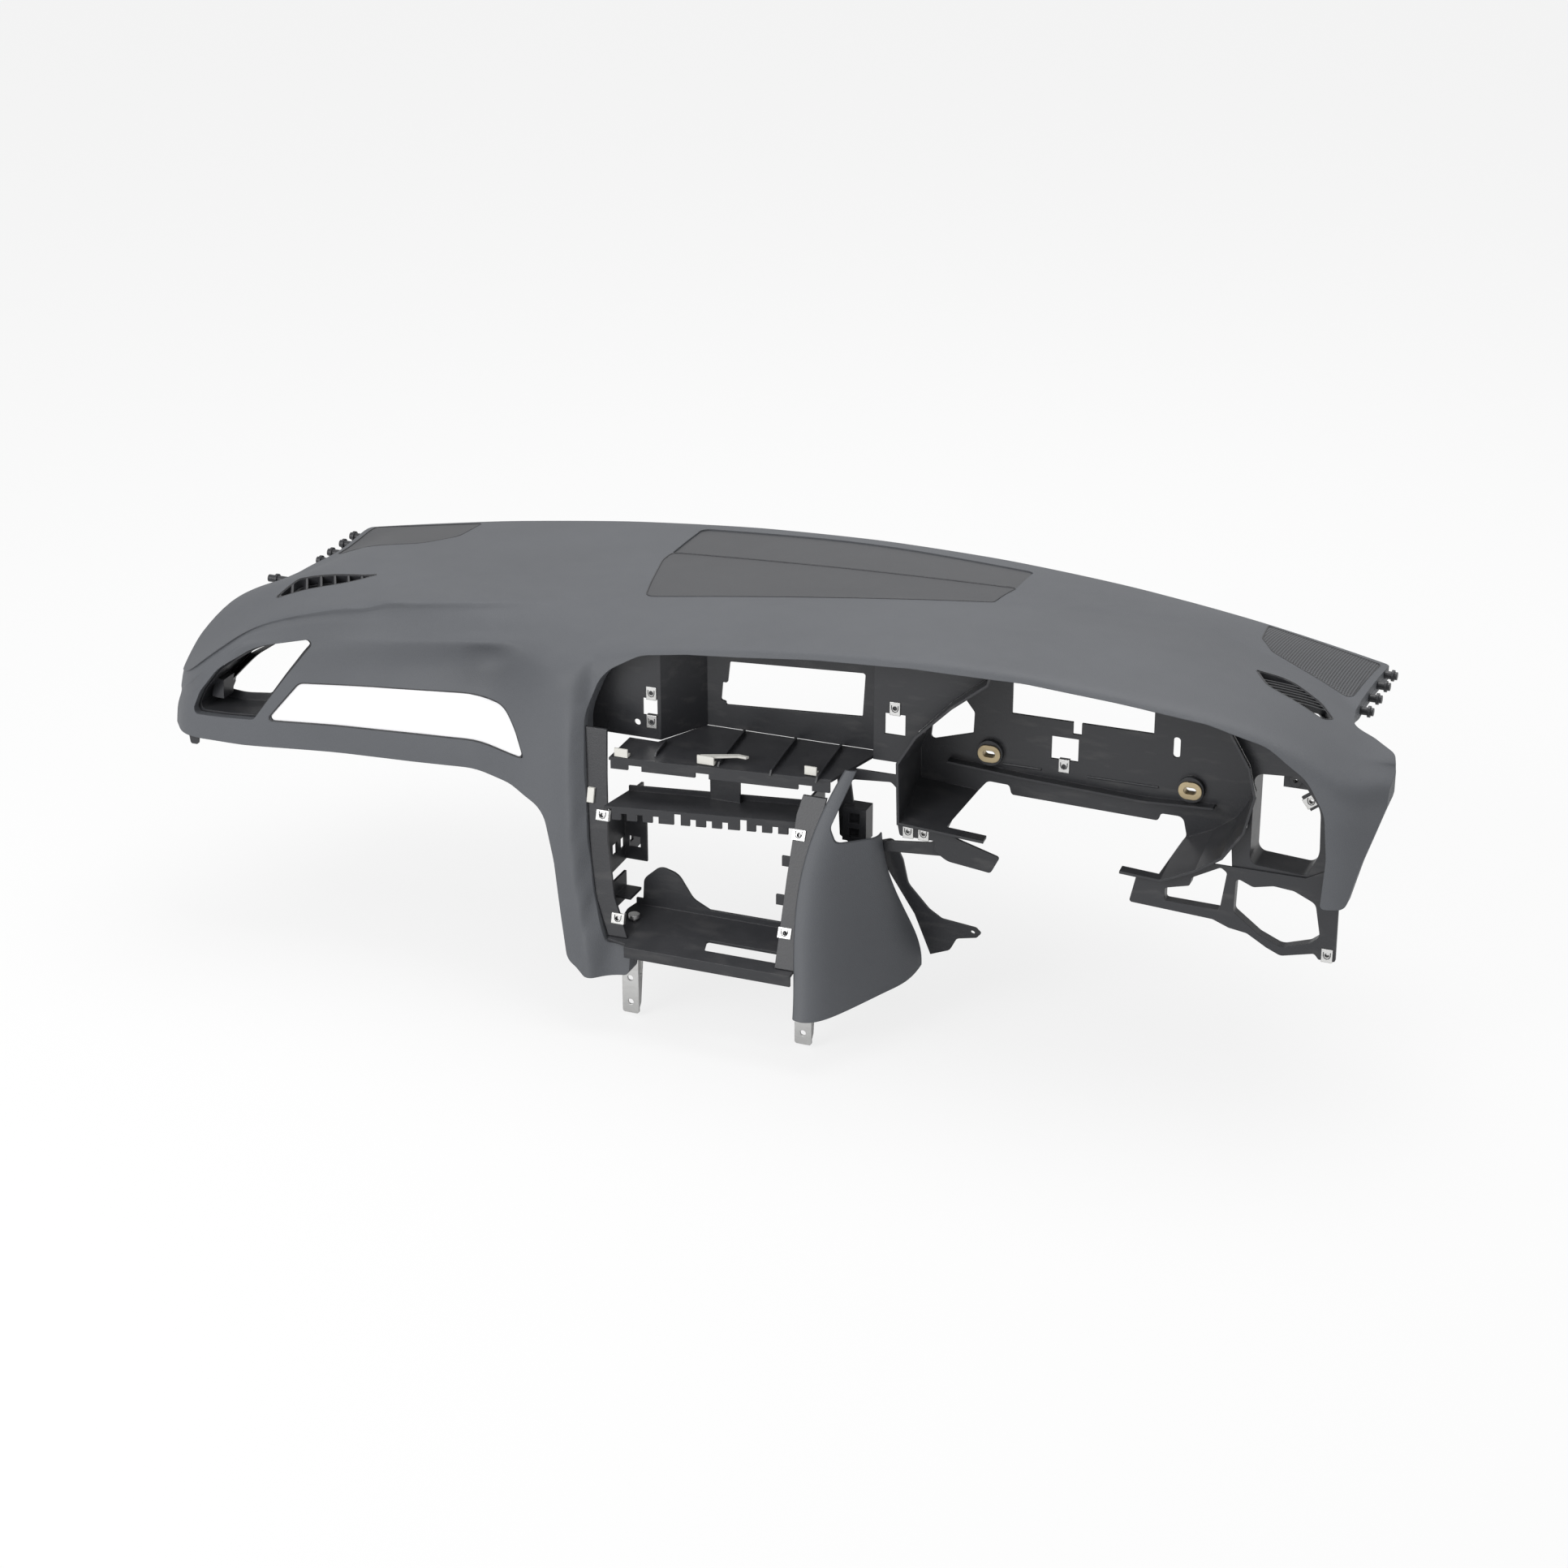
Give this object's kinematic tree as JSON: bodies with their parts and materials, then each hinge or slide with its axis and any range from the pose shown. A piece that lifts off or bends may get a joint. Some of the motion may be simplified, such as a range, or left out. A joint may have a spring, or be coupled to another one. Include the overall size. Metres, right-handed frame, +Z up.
{
  "type": "car dashboard",
  "caption": "Right-hand-drive dashboard shell with passenger fascia, instrument bucket, display recess and centre stack frame.",
  "frame": {"origin": "centre of the four fixing holes in the console legs, on the legs' rear face", "axes": "+X across the car to the driver's side (right), +Y forward to the windscreen, +Z up"},
  "size_m": [1.445, 0.5846, 0.4511],
  "materials": {
    "pad_skin": "soft fine-grained blue-grey",
    "hard_black": "smooth semi-gloss black",
    "cover_plastic": "matt grey",
    "speaker_mesh": "fine perforated grey",
    "duct_plastic": "dull black",
    "satin_trim": "satin",
    "zinc_steel": "zinc plated",
    "bush_metal": "dull",
    "clip_plastic": "off-white"
  },
  "bodies": {
    "root": {"dash_pad": "pad_skin", "pad_edge_frame": "pad_skin", "pad_carrier": "hard_black", "carrier_ribs": "hard_black", "centre_top_cover": "cover_plastic", "defroster_slot_grille": "cover_plastic", "defroster_duct": "duct_plastic", "speaker_cover_left": "cover_plastic", "speaker_cover_right": "speaker_mesh", "side_grille_left": "hard_black", "side_grille_right": "hard_black", "passenger_decor_strip": "satin_trim", "passenger_vent_frame": "hard_black", "airbag_chute": "duct_plastic", "display_housing": "hard_black", "cluster_housing": "hard_black", "cluster_grommets": "bush_metal", "stack_upper_shelf": "hard_black", "stack_middle_shelf": "hard_black", "stack_bracket_left": "hard_black", "stack_bracket_right": "hard_black", "console_cross_member": "hard_black", "console_leg_left": "zinc_steel", "console_leg_right": "zinc_steel", "leg_bolts": "zinc_steel", "driver_console_panel": "pad_skin", "console_flank": "hard_black", "ignition_switch_housing": "hard_black", "column_bracket": "hard_black", "driver_vent_frame": "hard_black", "vent_bush": "hard_black", "knee_frame": "hard_black", "spring_nuts": "zinc_steel", "retaining_clips": "clip_plastic", "locating_pegs": "hard_black", "fascia_tab": "hard_black"}
  },
  "joints": []
}
